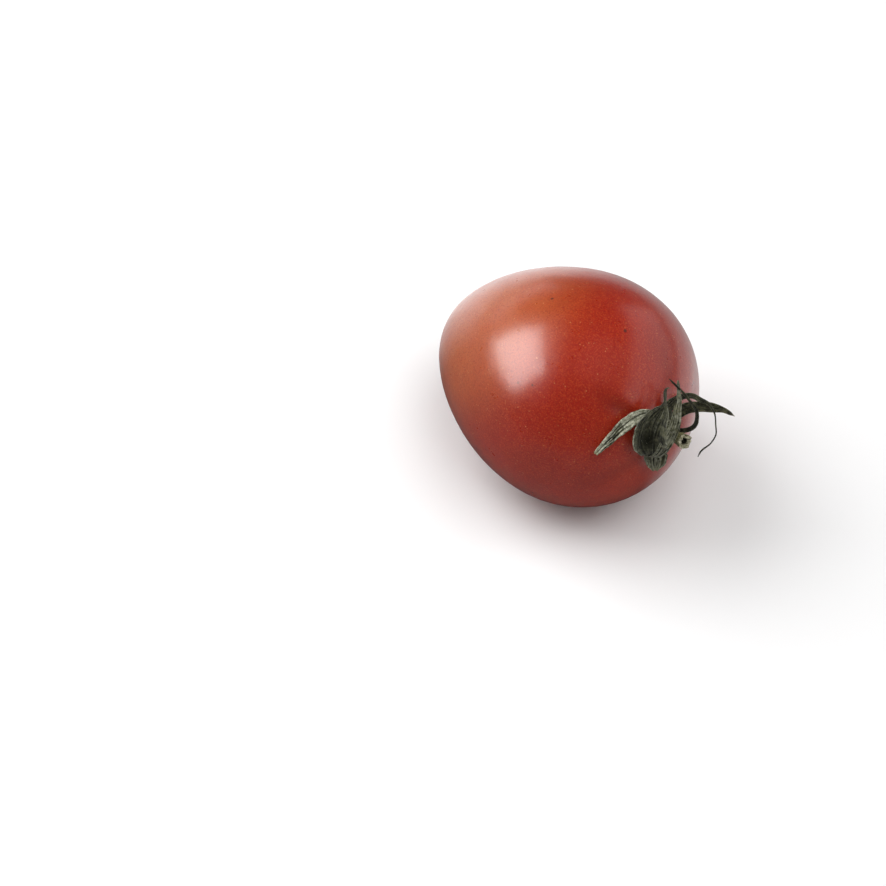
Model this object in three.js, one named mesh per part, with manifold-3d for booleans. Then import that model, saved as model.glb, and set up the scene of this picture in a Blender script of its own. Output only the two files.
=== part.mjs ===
// A plum tomato lying on its side, stem end raised, with its dried calyx and a stub of stalk.
// Millimetres, +Z up, +X towards the stem end; the origin is the middle of the small flat
// spot that the fruit rests on.
import * as THREE from "three";
import { mergeVertices } from "three/addons/utils/BufferGeometryUtils.js";
import Module from "manifold-3d";

// The fruit: a body of revolution, fatter at the stem end.
const HALF_LENGTH = 35.3;
const BODY_RADIUS = 28.0;
const BODY_POWER = 0.5225;
const BODY_TAPER = 0.222;
const DIMPLE_DEPTH = 3.2;
const DIMPLE_RADIUS = 6.0;
const SCAR_DEPTH = 0.35;
const SCAR_RADIUS = 1.8;
const LOBES = 3;
const LOBE_SWELL = 0.005;
const LOBE_TURN = 0.6;
const REST_TILT = THREE.MathUtils.degToRad(15);
const REST_FLAT_DEPTH = 0.45;

// Soft furrows that run out from the stem dimple: direction in degrees from straight up
// towards +Y, depth and half width in degrees.
const FURROWS = [
  [-35, 0.5, 7.5],
  [28, 0.22, 10],
  [84, 0.26, 9],
  [150, 0.22, 10],
  [-100, 0.26, 9],
];
const FURROW_START = 5;
const FURROW_FULL = 11;
const FURROW_FADE = 15;
const FURROW_END = 25;

// How finely the fruit is divided, and between which s its lowest point is looked for.
const FRUIT_RINGS = 42;
const FRUIT_SIDES = 56;
const RING_CROWDING = 1.2;
const LOWEST_FROM = -0.6;
const LOWEST_TO = 0.4;
const LOWEST_STEP = 0.001;

// A block larger than the fruit, which cuts the flat spot.
const BLOCK_WIDTH = 80;
const BLOCK_HEIGHT = 20;

// The calyx: seven dried sepals round a small knob in the dimple.
const BLADE_ROOT_THICKNESS = 0.8;
const BLADE_THICKNESS = 0.62;
const BLADE_ROWS_PER_MM = 0.8;
const BLADE_CELLS = 3;
// The knob's outline, distance from the axis and height above the bottom of the dimple.
const KNOB_OUTLINE = [
  [0, 0.4],
  [1.5, 0.55],
  [2.6, 0.85],
  [3.3, 1.2],
  [3.3, 1.7],
  [2.7, 2.3],
  [2.1, 2.6],
  [0, 2.6],
];
const KNOB_SIDES = 24;

// Sepal centre lines. Each row is out along the fruit's axis from the bottom of the
// dimple, towards +Y, up, and half the blade's width.
const OUTWARD = [0.9, -0.2, 0.3];
const TO_FRONT = [0.6, -0.42, 0.68];
const TO_BACK = [-0.6, 0.42, -0.68];
const UPWARD = [-0.39, 0.58, 0.71];
const SEPALS = [
  {
    // laid back over the shoulder
    line: [
      [0.9, -1, 2.1, 1.2],
      [2, -2, 5.2, 1.4],
      [2.8, -3.9, 8.7, 1.3],
      [3.1, -5.4, 11.2, 1],
      [2.6, -6.7, 11.6, 1.25],
      [2, -8.3, 11.5, 1.6],
      [1.3, -10.1, 11, 1.7],
      [0.6, -12.1, 10.1, 1.5],
      [-0.5, -15.1, 8.3, 1.15],
      [-1.9, -18.7, 6.1, 0.65],
    ],
    faces: [OUTWARD, [0.9, -0.2, 0.2], [0.85, -0.4, 0.35], [0.75, -0.6, 0.3], [0.75, -0.65, 0.2]],
    cup: [0.25, 0.3, 0.15],
  },
  {
    // the broad one: curls under, then up into a hollow that ends in a hooked tip
    line: [
      [1, -1.6, 1.3, 1.2],
      [2.7, -3.9, 0.9, 1.3],
      [3.9, -6.3, 0.2, 1.2],
      [4.7, -7.6, 0.5, 1.2],
      [5.2, -8, 1.9, 2.3],
      [5, -7.6, 3.8, 3.9],
      [4.8, -6.3, 6.5, 4.2],
      [5.1, -4.5, 9.1, 3.6],
      [5.6, -3.1, 11.1, 2.1],
      [5.7, -2.1, 12, 1],
      [5.6, -1.5, 12.7, 0.45],
      [5, -0.5, 13.8, 0.4],
      [4.7, 0.1, 14.7, 0.37],
      [4.7, 0.6, 15, 0.34],
      [5, 1.2, 15, 0.3],
    ],
    faces: [OUTWARD, TO_FRONT, [0.3, 0.2, 0.9], UPWARD, [-0.6, 0.6, 0.2], ...Array(10).fill(TO_BACK)],
    cup: [0.2, 0.1, 0, -0.4, -0.75, -0.8, -0.75, -0.65, -0.45, -0.3, -0.2],
  },
  {
    // the sickle that crosses in front of the stalk
    line: [
      [1.3, -1.2, 0.7, 1.2],
      [2.8, -3.8, -0.2, 1.3],
      [3.8, -6.3, -0.6, 1.1],
      [4.6, -7.3, -0.2, 1],
      [5.9, -7.2, 0.9, 1],
      [7.6, -5.6, 3, 1.2],
      [8.4, -3.4, 5.4, 1.25],
      [8.3, -1.5, 7.6, 1.15],
      [7.4, 0.4, 9.9, 0.95],
      [6.8, 1.7, 11.3, 0.72],
      [6.1, 2.8, 12.5, 0.48],
      [4.7, 4.5, 14.6, 0.33],
    ],
    faces: [OUTWARD, [0.6, -0.4, 0.4], [0, 0.2, 0.9], UPWARD, [-0.6, 0.6, 0.1], ...Array(7).fill(TO_BACK)],
    cup: [0.2, 0, -0.3, -0.35, -0.3],
  },
  {
    // the short round one that lies down the fruit's lower side
    line: [
      [1.2, -1.2, 0.3, 1.3],
      [2.2, -3.4, -1.2, 2.4],
      [3, -5.1, -2.6, 3.1],
      [3.7, -6, -3.9, 2.8],
      [4.2, -6.7, -4.9, 2],
      [4.5, -7.1, -5.5, 1],
    ],
    faces: [OUTWARD, [0.8, -0.3, 0.1], [0.7, -0.3, 0.3]],
    cup: [0.3, 0.25, 0.2],
  },
  {
    // an arch that dries to a hanging thread
    line: [
      [1.1, -0.2, 1.7, 1.3],
      [2.2, 1.1, 4.4, 1.6],
      [3.6, 2.5, 7.5, 1.5],
      [4.8, 4.5, 9.4, 0.8],
      [6.6, 6.6, 8.9, 0.65],
      [8.1, 7.4, 7.8, 0.6],
      [9.7, 8.3, 6.6, 0.4],
      [11.4, 8, 4.9, 0.3],
      [12.7, 6.6, 2.8, 0.3],
      [13.6, 5.3, 1.2, 0.3],
      [13.6, 3.5, 0.1, 0.3],
      [12.7, 0.4, -1, 0.3],
      [12.7, -0.6, -1.7, 0.3],
    ],
    faces: [[0.9, 0.2, 0.2], TO_FRONT, TO_FRONT],
    cup: [0.3, 0.1],
  },
  {
    // the long one that reaches out past the fruit's side
    line: [
      [1.5, 0.2, 1.2, 1.2],
      [2, 3.2, 2.3, 1.4],
      [3.1, 6.5, 3, 1.4],
      [5.2, 9.4, 2.5, 1.25],
      [7.5, 11.3, 1.9, 1.15],
      [10, 12.6, 1.3, 0.65],
      [12.6, 13.2, 0.3, 0.3],
    ],
    faces: [[0.9, 0.2, 0.2], [0.75, -0.2, 0.6], TO_FRONT],
    cup: [0.3, 0.15],
  },
  {
    // a narrow one that loops up across the others
    line: [
      [1.3, 0.1, 0.2, 1],
      [2.2, 2.3, -1.1, 0.7],
      [4.3, 4.2, -1.6, 0.6],
      [6.6, 5, 0.1, 0.6],
      [8, 5.3, 3, 0.5],
      [8, 5.6, 6.1, 0.42],
      [7.5, 5, 8.3, 0.36],
      [6.2, 4.1, 11.8, 0.3],
      [5.6, 3, 14.4, 0.3],
      [3.9, 2.6, 16.2, 0.3],
    ],
    faces: [[0.9, 0.2, 0.2], [0.6, -0.1, 0.6], TO_FRONT, TO_FRONT, TO_FRONT],
    cup: [0.3, 0.1],
  },
];

// The stalk: centre line like the sepals', with its radius, and a broken end with a
// hollow pith. Its foot stands in a socket in the knob.
const STALK_LINE = [
  [1.9, 0, 0, 1.5],
  [4.4, 0.15, 0.3, 1.4],
  [6.9, 0.15, 0.35, 1.5],
  [8.9, -0.35, 1, 1.75],
];
const STALK_STEPS = 9;
const STALK_SIDES = 20;
const STALK_FOOT_ROUND = 0.3;
const STALK_FOOT_END = 0.03;
const STALK_RIBS = 5;
const STALK_RIB_HEIGHT = 0.06;
const PITH_RADIUS = 0.7;
const PITH_DEPTH = 1.3;
const PITH_NARROWING = 0.3;
const TORN_EDGE = 0.2;
const GAP = 0.3;
// The part of the stalk's line that the socket in the knob takes.
const SOCKET_REACH = 0.45;
const SOCKET_STEPS = 3;
// How finely the stalk's line is read.
const LINE_STEPS = 100;

const RED_SKIN = new THREE.MeshStandardMaterial({ color: 0xa3271a, roughness: 0.3, metalness: 0 });
const DRY_GREEN = new THREE.MeshStandardMaterial({ color: 0x3d4132, roughness: 0.85, metalness: 0 });
const STALK_GREEN = new THREE.MeshStandardMaterial({ color: 0x6a6338, roughness: 0.8, metalness: 0 });

const wasm = await Module();
wasm.setup();

// A closed mesh from points and triangles.
function meshOf(points, triangles) {
  const geometry = new THREE.BufferGeometry();
  geometry.setAttribute("position", new THREE.Float32BufferAttribute(points.flat(), 3));
  geometry.setIndex(triangles.flat());
  return geometry;
}

function solidOf(geometry) {
  const bare = geometry.clone();
  bare.deleteAttribute("normal");
  bare.deleteAttribute("uv");
  const merged = mergeVertices(bare, 1e-4);
  return new wasm.Manifold(
    new wasm.Mesh({
      numProp: 3,
      vertProperties: new Float32Array(merged.attributes.position.array),
      triVerts: new Uint32Array(merged.index.array),
    })
  );
}

function geometryOf(solid) {
  const mesh = solid.getMesh();
  const geometry = new THREE.BufferGeometry();
  geometry.setAttribute("position", new THREE.Float32BufferAttribute(mesh.vertProperties, 3));
  geometry.setIndex(Array.from(mesh.triVerts));
  return geometry;
}

// Turns a triangle list inside out where its volume comes out negative.
function facingOut(points, triangles) {
  let volume = 0;
  for (const [a, b, c] of triangles) {
    const [p, q, r] = [points[a], points[b], points[c]].map((v) => new THREE.Vector3(...v));
    volume += p.dot(q.cross(r));
  }
  return volume > 0 ? triangles : triangles.map(([a, b, c]) => [a, c, b]);
}

// Rings of points joined to each other, closed with a point at each end.
function closedRings(rings, first, last) {
  const sides = rings[0].length;
  const points = [first, ...rings.flat(), last];
  const at = (ring, side) => 1 + ring * sides + (side % sides);
  const triangles = [];
  for (let side = 0; side < sides; side++) {
    triangles.push([0, at(0, side + 1), at(0, side)]);
    for (let ring = 0; ring < rings.length - 1; ring++) {
      triangles.push([at(ring, side), at(ring, side + 1), at(ring + 1, side + 1)]);
      triangles.push([at(ring, side), at(ring + 1, side + 1), at(ring + 1, side)]);
    }
    triangles.push([points.length - 1, at(rings.length - 1, side), at(rings.length - 1, side + 1)]);
  }
  return meshOf(points, facingOut(points, triangles));
}

// A smooth curve through rows of numbers whose first three are a point.
function smoothRows(rows, count) {
  const at = [0];
  for (let i = 1; i < rows.length; i++) {
    const [a, b] = [rows[i - 1], rows[i]];
    at.push(at[i - 1] + Math.hypot(b[0] - a[0], b[1] - a[1], b[2] - a[2]));
  }
  const last = rows.length - 1;
  const slopes = rows.map((row, i) => {
    const a = Math.max(i - 1, 0);
    const b = Math.min(i + 1, last);
    return row.map((value, k) => {
      if (a === i || b === i) {
        return (rows[b][k] - rows[a][k]) / (at[b] - at[a]);
      }
      const before = at[i] - at[a];
      const after = at[b] - at[i];
      const rise = ((value - rows[a][k]) / before) * after;
      const run = ((rows[b][k] - value) / after) * before;
      return (rise + run) / (before + after);
    });
  });
  const out = [];
  for (let j = 0; j < count; j++) {
    const x = (at[last] * j) / (count - 1);
    let i = 0;
    while (i < last - 1 && at[i + 1] <= x) {
      i++;
    }
    const h = at[i + 1] - at[i];
    const s = (x - at[i]) / h;
    const [s2, s3] = [s * s, s * s * s];
    const value = rows[i].map(
      (a, k) =>
        (2 * s3 - 3 * s2 + 1) * a +
        (s3 - 2 * s2 + s) * h * slopes[i][k] +
        (3 * s2 - 2 * s3) * rows[i + 1][k] +
        (s3 - s2) * h * slopes[i + 1][k]
    );
    const slope = rows[i].map(
      (a, k) =>
        ((6 * s2 - 6 * s) / h) * (a - rows[i + 1][k]) +
        (3 * s2 - 4 * s + 1) * slopes[i][k] +
        (3 * s2 - 2 * s) * slopes[i + 1][k]
    );
    out.push({ value, along: new THREE.Vector3(...slope.slice(0, 3)).normalize() });
  }
  return out;
}

// The value of a list of numbers at a fraction of its length.
function listAt(list, fraction) {
  const x = fraction * (list.length - 1);
  const i = Math.min(Math.floor(x), list.length - 2);
  return list[i] + (list[i + 1] - list[i]) * (x - i);
}

function furrow(turn, radius) {
  const degrees = THREE.MathUtils.radToDeg(turn);
  let depth = 0;
  for (const [direction, deepest, halfWidth] of FURROWS) {
    const away = THREE.MathUtils.euclideanModulo(degrees - direction + 180, 360) - 180;
    depth += deepest * Math.exp(-((away / halfWidth) ** 2));
  }
  const start = THREE.MathUtils.smoothstep(radius, FURROW_START, FURROW_FULL);
  const end = 1 - THREE.MathUtils.smoothstep(radius, FURROW_FADE, FURROW_END);
  return depth * start * end;
}

// A point of the fruit's skin: s runs from -1 at the blossom end to 1 at the stem end,
// turn goes from straight up towards +Y.
function skinPoint(s, turn) {
  const plain = BODY_RADIUS * (1 - s * s) ** BODY_POWER * (1 + BODY_TAPER * s);
  const swell = 1 + LOBE_SWELL * Math.cos(LOBES * (turn - LOBE_TURN));
  const crease = s > 0 ? furrow(turn, plain) : 0;
  const radius = plain * swell - crease * s;
  const dimple = s > 0 ? DIMPLE_DEPTH * Math.exp(-((plain / DIMPLE_RADIUS) ** 2)) : 0;
  const scar = s < 0 ? SCAR_DEPTH * Math.exp(-((plain / SCAR_RADIUS) ** 2)) : 0;
  const x = HALF_LENGTH * s - dimple + scar - crease * (1 - s);
  return [x, radius * Math.sin(turn), radius * Math.cos(turn)];
}

function fruitGeometry() {
  const rings = [];
  for (let i = 1; i < FRUIT_RINGS; i++) {
    const s = -Math.cos(Math.PI * (1 - (1 - i / FRUIT_RINGS) ** RING_CROWDING));
    const ring = [];
    for (let side = 0; side < FRUIT_SIDES; side++) {
      ring.push(skinPoint(s, (2 * Math.PI * side) / FRUIT_SIDES));
    }
    rings.push(ring);
  }
  const blossom = [-HALF_LENGTH + SCAR_DEPTH, 0, 0];
  const stem = [HALF_LENGTH - DIMPLE_DEPTH, 0, 0];
  return closedRings(rings, blossom, stem);
}

// The lowest point of the tilted fruit, as x and z before it is moved onto the floor.
function lowestPoint() {
  let lowest = [0, 0];
  for (let s = LOWEST_FROM; s < LOWEST_TO; s += LOWEST_STEP) {
    const [x, , z] = skinPoint(s, Math.PI);
    const height = x * Math.sin(REST_TILT) + z * Math.cos(REST_TILT);
    if (height < lowest[1]) {
      lowest = [x * Math.cos(REST_TILT) - z * Math.sin(REST_TILT), height];
    }
  }
  return lowest;
}

// One sepal: an arched strip swept along its centre line.
function bladeGeometry({ line, faces, cup }) {
  const rows = line.map((row, i) => {
    const f = i / (line.length - 1);
    const face = [0, 1, 2].map((k) => listAt(faces.map((v) => v[k]), f));
    return [...row, ...face, listAt(cup, f)];
  });
  let reach = 0;
  for (let i = 1; i < line.length; i++) {
    const [a, b] = [line[i - 1], line[i]];
    reach += Math.hypot(b[0] - a[0], b[1] - a[1], b[2] - a[2]);
  }
  const count = Math.round(reach * BLADE_ROWS_PER_MM) + 2;
  const sections = smoothRows(rows, count).map(({ value, along }, i) => {
    const centre = new THREE.Vector3(value[0], value[1], value[2]);
    const face = new THREE.Vector3(value[4], value[5], value[6]);
    face.addScaledVector(along, -face.dot(along)).normalize();
    const across = new THREE.Vector3().crossVectors(along, face);
    const half = THREE.MathUtils.lerp(BLADE_ROOT_THICKNESS, BLADE_THICKNESS, i / (count - 1)) / 2;
    const upper = [];
    const lower = [];
    for (let cell = 0; cell <= BLADE_CELLS; cell++) {
      const v = -1 + (2 * cell) / BLADE_CELLS;
      const middle = centre
        .clone()
        .addScaledVector(across, value[3] * v)
        .addScaledVector(face, value[7] * value[3] * v * v);
      upper.push(middle.clone().addScaledVector(face, half).toArray());
      lower.push(middle.clone().addScaledVector(face, -half).toArray());
    }
    return [...upper, ...lower];
  });
  const wide = BLADE_CELLS + 1;
  const top = (row, cell) => row * 2 * wide + cell;
  const under = (row, cell) => row * 2 * wide + wide + cell;
  const triangles = [];
  for (let row = 0; row < count - 1; row++) {
    for (let cell = 0; cell < BLADE_CELLS; cell++) {
      triangles.push([top(row, cell), top(row, cell + 1), top(row + 1, cell + 1)]);
      triangles.push([top(row, cell), top(row + 1, cell + 1), top(row + 1, cell)]);
      triangles.push([under(row, cell), under(row + 1, cell + 1), under(row, cell + 1)]);
      triangles.push([under(row, cell), under(row + 1, cell), under(row + 1, cell + 1)]);
    }
    triangles.push([top(row, 0), top(row + 1, 0), under(row + 1, 0)]);
    triangles.push([top(row, 0), under(row + 1, 0), under(row, 0)]);
    const edge = BLADE_CELLS;
    triangles.push([top(row, edge), under(row + 1, edge), top(row + 1, edge)]);
    triangles.push([top(row, edge), under(row, edge), under(row + 1, edge)]);
  }
  const end = count - 1;
  for (let cell = 0; cell < BLADE_CELLS; cell++) {
    triangles.push([top(0, cell), under(0, cell), under(0, cell + 1)]);
    triangles.push([top(0, cell), under(0, cell + 1), top(0, cell + 1)]);
    triangles.push([top(end, cell), under(end, cell + 1), under(end, cell)]);
    triangles.push([top(end, cell), top(end, cell + 1), under(end, cell + 1)]);
  }
  const points = sections.flat();
  return meshOf(points, facingOut(points, triangles));
}

function middleOf(ring) {
  return [0, 1, 2].map((k) => ring.reduce((sum, p) => sum + p[k], 0) / ring.length);
}

// A round bar along the stalk's line; its rings are given as how far along and how wide.
function stalkRings(profile, swell) {
  const steps = smoothRows(STALK_LINE, LINE_STEPS + 1);
  return profile.map(({ at, radius, torn }) => {
    const { value, along } = steps[Math.round(at * LINE_STEPS)];
    const side = new THREE.Vector3(0, 1, 0).addScaledVector(along, -along.y).normalize();
    const up = new THREE.Vector3().crossVectors(along, side);
    const ring = [];
    for (let k = 0; k < STALK_SIDES; k++) {
      const turn = (2 * Math.PI * k) / STALK_SIDES;
      const rib = 1 + STALK_RIB_HEIGHT * Math.cos(STALK_RIBS * turn);
      const wide = radius * value[3] * rib + swell;
      const ragged = torn * (Math.sin(3 * turn + 1) + Math.sin(7 * turn));
      const point = new THREE.Vector3(value[0], value[1], value[2])
        .addScaledVector(side, wide * Math.cos(turn))
        .addScaledVector(up, wide * Math.sin(turn))
        .addScaledVector(along, ragged);
      ring.push(point.toArray());
    }
    return ring;
  });
}

function stalkGeometry() {
  const tip = STALK_LINE[STALK_LINE.length - 1];
  const profile = [{ at: 0, radius: 1 - STALK_FOOT_ROUND, torn: 0 }];
  for (let step = 0; step <= STALK_STEPS; step++) {
    const at = STALK_FOOT_END + ((1 - STALK_FOOT_END) * step) / STALK_STEPS;
    profile.push({ at, radius: 1, torn: step === STALK_STEPS ? TORN_EDGE : 0 });
  }
  profile.push({ at: 1, radius: PITH_RADIUS / tip[3], torn: TORN_EDGE / 2 });
  profile.push({ at: 1 - PITH_DEPTH / (tip[0] - STALK_LINE[0][0]), radius: PITH_NARROWING, torn: 0 });
  const rings = stalkRings(profile, 0);
  return closedRings(rings, middleOf(rings[0]), middleOf(rings[rings.length - 1]));
}

// The room kept clear round the stalk's foot.
function socketSolid() {
  const profile = [];
  for (let step = 0; step <= SOCKET_STEPS; step++) {
    profile.push({ at: (SOCKET_REACH * step) / SOCKET_STEPS, radius: 1, torn: 0 });
  }
  const rings = stalkRings(profile, GAP + STALK_RIB_HEIGHT);
  for (const point of rings[0]) {
    point[0] -= GAP;
  }
  return solidOf(closedRings(rings, middleOf(rings[0]), middleOf(rings[rings.length - 1])));
}

function calyxGeometry() {
  const outline = KNOB_OUTLINE.map(([radius, height]) => new THREE.Vector2(radius, height));
  const knob = new THREE.LatheGeometry(outline, KNOB_SIDES);
  knob.rotateZ(-Math.PI / 2);
  let calyx = solidOf(knob);
  for (const sepal of SEPALS) {
    calyx = calyx.add(solidOf(bladeGeometry(sepal)));
  }
  return geometryOf(calyx.subtract(socketSolid()));
}

const [restX, restZ] = lowestPoint();
const flatZ = restZ + REST_FLAT_DEPTH;
const below = new THREE.BoxGeometry(BLOCK_WIDTH, BLOCK_WIDTH, BLOCK_HEIGHT);
below.translate(0, 0, flatZ - BLOCK_HEIGHT / 2);
below.rotateY(REST_TILT);

const tomato = new THREE.Group();
tomato.rotation.y = -REST_TILT;
tomato.position.set(-restX, 0, -flatZ);

const fruit = new THREE.Mesh(geometryOf(solidOf(fruitGeometry()).subtract(solidOf(below))), RED_SKIN);
fruit.name = "fruit";
tomato.add(fruit);

const stemEnd = new THREE.Group();
stemEnd.position.set(HALF_LENGTH - DIMPLE_DEPTH, 0, 0);
tomato.add(stemEnd);

const calyx = new THREE.Mesh(calyxGeometry(), DRY_GREEN);
calyx.name = "calyx";
stemEnd.add(calyx);

const stalk = new THREE.Mesh(stalkGeometry(), STALK_GREEN);
stalk.name = "stalk";
stemEnd.add(stalk);

for (const mesh of [fruit, calyx, stalk]) {
  mesh.geometry.computeVertexNormals();
}

export default tomato;
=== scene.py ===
import math

import bpy
import numpy as np
from mathutils import Matrix, Quaternion, Vector, noise


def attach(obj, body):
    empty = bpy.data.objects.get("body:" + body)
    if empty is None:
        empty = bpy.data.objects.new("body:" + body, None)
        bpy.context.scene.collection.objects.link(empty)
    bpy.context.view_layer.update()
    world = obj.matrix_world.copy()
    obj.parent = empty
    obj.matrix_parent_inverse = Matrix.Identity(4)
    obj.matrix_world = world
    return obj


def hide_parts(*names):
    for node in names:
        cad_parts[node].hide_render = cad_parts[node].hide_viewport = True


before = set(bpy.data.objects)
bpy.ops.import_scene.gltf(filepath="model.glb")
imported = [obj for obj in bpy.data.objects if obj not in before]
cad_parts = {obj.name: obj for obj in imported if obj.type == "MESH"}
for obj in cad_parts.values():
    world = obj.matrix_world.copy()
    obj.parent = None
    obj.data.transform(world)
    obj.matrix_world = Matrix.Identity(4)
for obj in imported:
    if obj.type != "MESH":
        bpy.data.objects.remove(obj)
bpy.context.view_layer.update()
MM = 0.001

# The fruit's own values, as in the solid, in millimetres.
HALF_LENGTH = 35.3
BODY_RADIUS = 28.0
BODY_POWER = 0.5225
BODY_TAPER = 0.222
DIMPLE_DEPTH = 3.2
DIMPLE_RADIUS = 6.0
SCAR_DEPTH = 0.35
SCAR_RADIUS = 1.8
LOBES = 3
LOBE_SWELL = 0.005
LOBE_TURN = 0.6
REST_TILT = math.radians(15)
REST_FLAT_DEPTH = 0.45
# Furrows: direction in degrees, depth, half width in degrees. They rise and fade between these radii.
FURROWS = [(-35, 0.5, 7.5), (28, 0.22, 10), (84, 0.26, 9), (150, 0.22, 10), (-100, 0.26, 9)]
FURROW_START, FURROW_FULL, FURROW_FADE, FURROW_END = 5, 11, 15, 25

# The skin in the scene. Unevenness is in layers: height, waves per millimetre, seed.
SKIN_UNEVENNESS = [(0.07, 0.11, 1), (0.015, 0.45, 2)]
# How much closer its rings lie near the dimple, and how much of its outward direction is along the axis.
RING_CROWDING = 1.2
OUTWARD_ALONG = 0.6
# How softly it meets the floor, in metres.
FLOOR_SOFTNESS = 0.00004
# Where the skin changes colour, and where painted shade darkens the stem dimple and the furrows: radii in
# millimetres, strengths from 0 to 1.
STEM_SHADE_RADIUS, CORK_RADIUS = 4.5, 1.3
STEM_SHADE, FURROW_SHADE, MOST_SHADE = 0.75, 0.9, 0.8
# The orange blush on the side towards the key lamps is partly the skin's own colour, partly painted light.
BLUSH_AND_LIGHT_TOWARDS = (-0.78, -0.28, 0.55)
BLUSH_AND_LIGHT_START, BLUSH_AND_LIGHT_MOST = 0.30, 0.95
# Single dark marks: out along the axis, towards +Y, up, reach.
MARKS = [(-27.6, -0.9, 28.5, 0.5), (-9.3, 3.6, 23.9, 0.55), (-18.4, -19.5, 20, 0.4)]

# Sepals. A line's rows are out along the axis, towards +Y, up, half the width. The directions that the blade
# faces and its cup, how it bends across, are at even steps along it. The tip is how wide the end stays,
# dry_tip how straw-coloured it is, and the last entry a dark patch of painted shade, in the broad sepal's cup
# and
# along the thin sepals in shade: strength, place and reach along the blade.
OUTWARD = (0.9, -0.2, 0.3)
TO_FRONT = (0.6, -0.42, 0.68)
TO_BACK = (-0.6, 0.42, -0.68)
UPWARD = (-0.39, 0.58, 0.71)
SEPALS = {
    "laid_back": dict(
        line=[(0.9, -1, 2.1, 1.2), (2, -2, 5.2, 1.4), (2.8, -3.9, 8.7, 1.3),
              (3.1, -5.4, 11.2, 1), (2.6, -6.7, 11.6, 1.25), (2, -8.3, 11.5, 1.6),
              (1.3, -10.1, 11, 1.7), (0.6, -12.1, 10.1, 1.5), (-0.5, -15.1, 8.3, 1.15),
              (-1.9, -18.7, 6.1, 0.65)],
        faces=[OUTWARD, (0.9, -0.2, 0.2), (0.85, -0.4, 0.35), (0.75, -0.6, 0.3),
               (0.75, -0.65, 0.2)],
        cup=[0.25, 0.3, 0.15], tip=0.85, dry_tip=0.8),
    "broad": dict(
        line=[(1, -1.6, 1.3, 1.2), (2.7, -3.9, 0.9, 1.3), (3.9, -6.3, 0.2, 1.2),
              (4.7, -7.6, 0.5, 1.2), (5.1, -8.1, 1.9, 2.2), (4.8, -7.8, 3.9, 3.7),
              (4.6, -6.5, 6.6, 3.95), (4.9, -4.7, 9.1, 3.4), (5.6, -3.1, 11.1, 2.1),
              (5.7, -2.1, 12, 1), (5.6, -1.5, 12.7, 0.45), (5, -0.5, 13.8, 0.4),
              (4.7, 0.1, 14.7, 0.37), (4.7, 0.6, 15, 0.34), (5, 1.2, 15, 0.28)],
        faces=[OUTWARD, TO_FRONT, (0.3, 0.2, 0.9), UPWARD, (-0.6, 0.6, 0.2)] + [TO_BACK] * 10,
        cup=[0.2, 0.1, 0, -0.4, -0.75, -0.8, -0.75, -0.65, -0.45, -0.3, -0.2],
        tip=0.5, dry_tip=0.5, hollow=(1.0, 0.46, 0.15)),
    "sickle": dict(
        line=[(1.3, -1.2, 0.7, 1.2), (2.8, -3.8, -0.2, 1.3), (3.8, -6.3, -0.6, 1.1),
              (4.7, -7.4, -0.3, 1), (6.4, -7.3, 1, 1.1), (8.1, -6.2, 3.7, 1.35),
              (8.8, -4.3, 6.2, 1.4), (8.6, -2.1, 8.2, 1.25), (7.5, 0.2, 10, 0.95),
              (6.8, 1.7, 11.3, 0.72), (6.1, 2.8, 12.5, 0.48), (4.7, 4.5, 14.6, 0.33)],
        faces=[OUTWARD, (0.6, -0.4, 0.4), (0, 0.2, 0.9), UPWARD, (-0.6, 0.6, 0.1)] + [TO_BACK] * 7,
        cup=[0.2, 0, -0.3, -0.35, -0.3], tip=0.6, dry_tip=0.3),
    "short": dict(
        line=[(1.2, -1.2, 0.3, 1.3), (2.2, -3.4, -1.2, 2.4), (3, -5.1, -2.6, 3.1),
              (3.7, -6, -3.9, 2.8), (4.2, -6.7, -4.9, 2), (4.5, -7.1, -5.5, 1)],
        faces=[OUTWARD, (0.8, -0.3, 0.1), (0.7, -0.3, 0.3)],
        cup=[0.3, 0.25, 0.2], tip=0.8, dry_tip=0.3),
    "arch": dict(
        line=[(1.1, -0.2, 1.7, 1.3), (2, 0.8, 4.5, 1.8), (3.2, 2.1, 7.7, 1.75),
              (4.8, 4.5, 9.4, 0.8), (6.6, 6.6, 8.9, 0.65), (8.1, 7.4, 7.8, 0.6),
              (9.7, 8.3, 6.6, 0.4), (11.4, 8, 4.9, 0.2), (12.7, 6.6, 2.8, 0.16),
              (13.6, 5.3, 1.2, 0.16), (13.6, 3.5, 0.1, 0.16), (12.7, 0.4, -1, 0.2),
              (12.7, -0.6, -1.7, 0.18)],
        faces=[(0.9, 0.2, 0.2), TO_FRONT, TO_FRONT],
        cup=[0.3, 0.1], tip=0.5, dry_tip=0.0, hollow=(1.0, 1.0, 0.4)),
    "reaching": dict(
        line=[(1.5, 0.2, 1.2, 1.2), (2, 3.2, 2.3, 1.4), (3.1, 6.5, 3, 1.4),
              (5.2, 9.4, 2.5, 1.25), (7.5, 11.3, 1.9, 1.15), (10, 12.6, 1.3, 0.65),
              (12.6, 13.2, 0.3, 0.3)],
        faces=[(0.9, 0.2, 0.2), (0.75, -0.2, 0.6), TO_FRONT],
        cup=[0.3, 0.15], tip=0.2, dry_tip=0.4, hollow=(0.5, 0.5, 3.0)),
    "narrow": dict(
        line=[(1.3, 0.1, 0.2, 1), (2.2, 2.3, -1.1, 0.7), (4.3, 4.2, -1.6, 0.6),
              (6.6, 5, 0.1, 0.6), (8, 5.3, 3, 0.5), (8, 5.6, 6.1, 0.42), (7.5, 5, 8.3, 0.36),
              (6.2, 4.1, 11.8, 0.3), (5.6, 3, 14.4, 0.27), (3.9, 2.6, 16.2, 0.22)],
        faces=[(0.9, 0.2, 0.2), (0.6, -0.1, 0.6), TO_FRONT, TO_FRONT, TO_FRONT],
        cup=[0.3, 0.1], tip=0.4, dry_tip=0.2, hollow=(0.8, 0.5, 3.0)),
}
# no painted shade
NO_PAINTED_SHADE = (0, 0, 1)
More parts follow.
